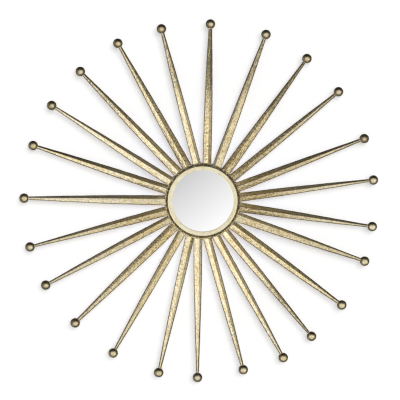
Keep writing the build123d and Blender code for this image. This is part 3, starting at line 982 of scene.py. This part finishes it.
# ------------------------------------------------------------------ stage, metres
scene = bpy.context.scene
scene.view_settings.view_transform = "Standard"
scene.view_settings.look = "None"
scene.view_settings.exposure = 0.0
scene.view_settings.gamma = 1.0
scene.cycles.filter_width = 1.3

WALL_HALF = 6.0
WALL_Y = 0.0005
FLOOR_HALF = 60.0
FLOOR_Z = -0.75
# rings of painted light, glow added to the wall round the hub: (full inside, gone outside, colour)
WALL_PAINTED_LIGHT_HALOS = [
    (0.03, 0.27, (0.042, 0.065, 0.165)),
    (0.090, 0.124, (0.105, 0.056, 0.0)),
]
PANEL_Y = -4.0
PANEL_HALF = 0.34
# the panel's brightness: at the middle, its change per metre along x and z, the least
PANEL_MID, PANEL_X, PANEL_Z, PANEL_MIN = 0.922, 0.86, -1.14, 0.3


def hide_from(obj, *rays):
    for ray in rays:
        setattr(obj, "visible_" + ray, False)


def add_plane(name, corners):
    mesh = bpy.data.meshes.new(name)
    mesh.from_pydata(corners, [], [(0, 1, 2, 3)])
    return add_object(name, mesh)


def stage_plane(name, corners, albedo, glow, painted_halos=(), one_sided=False):
    """A matt plane with an even glow and any rings of painted light, which the mirror neither
    reflects nor shades.
    """
    plane = add_plane(name, corners)
    material, tree = new_tree(name)
    matt = tree.shader("BsdfDiffuse", {"Color": (albedo,) * 3})
    even = tree.shader("Emission", {"Color": (1.0, 1.0, 1.0), "Strength": glow})
    shader = tree.shader("AddShader", {0: matt, 1: even})
    if painted_halos:
        place = tree.node("NewGeometry").outputs["Position"]
        distance = tree.vector("LENGTH", {0: place}, out="Value")
    for near, far, color in painted_halos:
        fall = tree.step(distance, start=near, end=far, low=1.0, high=0.0)
        halo = tree.shader("Emission", {"Color": color, "Strength": fall})
        shader = tree.shader("AddShader", {0: shader, 1: halo})
    if one_sided:
        behind = tree.node("NewGeometry").outputs["Backfacing"]
        clear = tree.shader("BsdfTransparent")
        shader = tree.shader("MixShader", {0: behind, 1: shader, 2: clear})
    tree.finish(shader)
    plane.data.materials.append(material)
    hide_from(plane, "diffuse", "glossy", "transmission", "shadow")


def make_panel():
    """What the flat glass reflects when it is seen square on: a pale room, darker to
    the upper left, seen only in reflections."""
    low, high = -PANEL_HALF, PANEL_HALF
    panel = add_plane(
        "reflected_room",
        [(low, PANEL_Y, low), (high, PANEL_Y, low), (high, PANEL_Y, high), (low, PANEL_Y, high)],
    )
    material, tree = new_tree("reflected_room")
    x, _, z = tree.split_xyz(tree.node("TexCoord").outputs["Object"])
    tone = tree.add(tree.mul(x, PANEL_X), tree.mul(z, PANEL_Z))
    tone = tree.most(tree.add(tone, PANEL_MID), PANEL_MIN)
    tree.finish(tree.shader("Emission", {"Color": tree.combine(tone, tone, tone)}))
    panel.data.materials.append(material)
    hide_from(panel, "camera", "diffuse", "transmission", "shadow")


# the wall's normal is -Y, and from behind it can't be seen
stage_plane(
    "wall",
    [
        (-WALL_HALF, WALL_Y, FLOOR_Z), (WALL_HALF, WALL_Y, FLOOR_Z),
        (WALL_HALF, WALL_Y, WALL_HALF), (-WALL_HALF, WALL_Y, WALL_HALF),
    ],
    albedo=0.93, glow=0.34, painted_halos=WALL_PAINTED_LIGHT_HALOS, one_sided=True,
)
stage_plane(
    "floor",
    [
        (-FLOOR_HALF, -FLOOR_HALF, FLOOR_Z), (FLOOR_HALF, -FLOOR_HALF, FLOOR_Z),
        (FLOOR_HALF, FLOOR_HALF, FLOOR_Z), (-FLOOR_HALF, FLOOR_HALF, FLOOR_Z),
    ],
    albedo=0.86, glow=0.42,
)
make_panel()

# ------------------------------------------------------------------ world
SKY_MEAN, SKY_MIN = 0.702, 0.02


def sky_brightness(tree, direction):
    """The soft studio seen by the metal, a smooth field over the directions x, y, z:
    brighter to the left and below, dark above."""
    x, y, z = tree.split_xyz(direction)
    mul, sub = tree.mul, tree.sub

    def linear(value, factor, offset):
        return tree.add(mul(value, factor), offset)

    xx, yy, zz = mul(x, x), mul(y, y), mul(z, z)
    sky = mul(x, 0.0)  # the sum starts at nothing
    for weight, term in (
        (-0.230, x),
        (-0.116, y),
        (-0.614, z),
        (0.052, mul(x, y)),
        (0.035, mul(y, z)),
        (0.259, mul(x, z)),
        (0.301, sub(xx, yy)),
        (-0.112, linear(zz, 3.0, -1.0)),
        (0.432, mul(mul(x, y), z)),
        (-0.110, mul(y, linear(yy, 5.0, -3.0))),
        (0.130, mul(x, linear(yy, 5.0, -1.0))),
        (0.153, mul(z, linear(yy, 5.0, -1.0))),
        (0.385, mul(y, sub(zz, xx))),
        (-0.007, mul(x, sub(xx, mul(zz, 3.0)))),
        (0.073, mul(z, sub(zz, mul(xx, 3.0)))),
    ):
        sky = tree.add(sky, mul(term, weight))
    return tree.most(tree.add(sky, SKY_MEAN), SKY_MIN)


def make_world():
    world = bpy.data.worlds.new("studio")
    scene.world = world
    tree = Tree(world, "OutputWorld")

    def background(color):
        return tree.shader("Background", {"Color": color})

    def tinted(value, tint):
        return background(tree.combine(*[tree.mul(value, k) for k in tint]))

    direction = tree.node("TexCoord").outputs["Generated"]
    metal = tinted(sky_brightness(tree, direction), (1.0, 0.995, 0.975))
    # the glass, seen from the side, reflects a calm pale room with soft changes of tone
    room = tree.noise(scale=17.0, detail=0.6, vec=direction)
    tone = tree.step(room, start=0.30, end=0.66, low=0.60, high=1.10)
    glass = tinted(tone, (0.985, 0.995, 1.0))
    # the light that falls on the wall and the floor is even and a little cool
    fill = background((0.40, 0.40, 0.405))
    seen = background((0.90, 0.90, 0.905))
    path = tree.node("LightPath").outputs
    shader = metal
    for kind, other in (
        ("Is Singular Ray", glass),
        ("Is Diffuse Ray", fill),
        ("Is Camera Ray", seen),
    ):
        shader = tree.shader("MixShader", {0: path[kind], 1: shader, 2: other})
    tree.finish(shader)


make_world()


# ------------------------------------------------------------------ lights
def aim_at_middle(light, place):
    """Turns a light to shine from the direction of a place to the mirror's middle."""
    light.rotation_euler = (Vector() - Vector(place)).to_track_quat("-Z", "Y").to_euler()


key_data = bpy.data.lights.new("key", "SUN")
key_data.angle = math.radians(42)
key_data.energy = 1.2
key = add_object("key", key_data)
aim_at_middle(key, (0.92, -2.8, 0.92))
hide_from(key, "glossy")

BEHIND_PLACE = (0.0, 2.6, 0.15)
behind_data = bpy.data.lights.new("behind", "AREA")
behind_data.shape = "DISK"
behind_data.size = 0.9
behind_data.energy = 26.0
behind = add_object("behind", behind_data)
behind.location = BEHIND_PLACE
aim_at_middle(behind, BEHIND_PLACE)
hide_from(behind, "camera", "glossy")

# ------------------------------------------------------------------ camera
CAMERA_X, CAMERA_Z = -5.775, 1.932  # mm
CAMERA_DISTANCE = 3.0  # from the plane of the bars
VIEW_WIDTH = 0.84  # in the plane of the bars
SENSOR_WIDTH = 36.0  # mm

camera_data = bpy.data.cameras.new("camera")
camera = add_object("camera", camera_data)
camera.location = (CAMERA_X * MM, BAR_Y * MM - CAMERA_DISTANCE, CAMERA_Z * MM)
camera.rotation_euler = (math.radians(90), 0, 0)
camera_data.sensor_fit = "HORIZONTAL"
camera_data.sensor_width = SENSOR_WIDTH
camera_data.lens = SENSOR_WIDTH * CAMERA_DISTANCE / VIEW_WIDTH
camera_data.clip_start = 0.01
scene.camera = camera

bpy.context.view_layer.update()
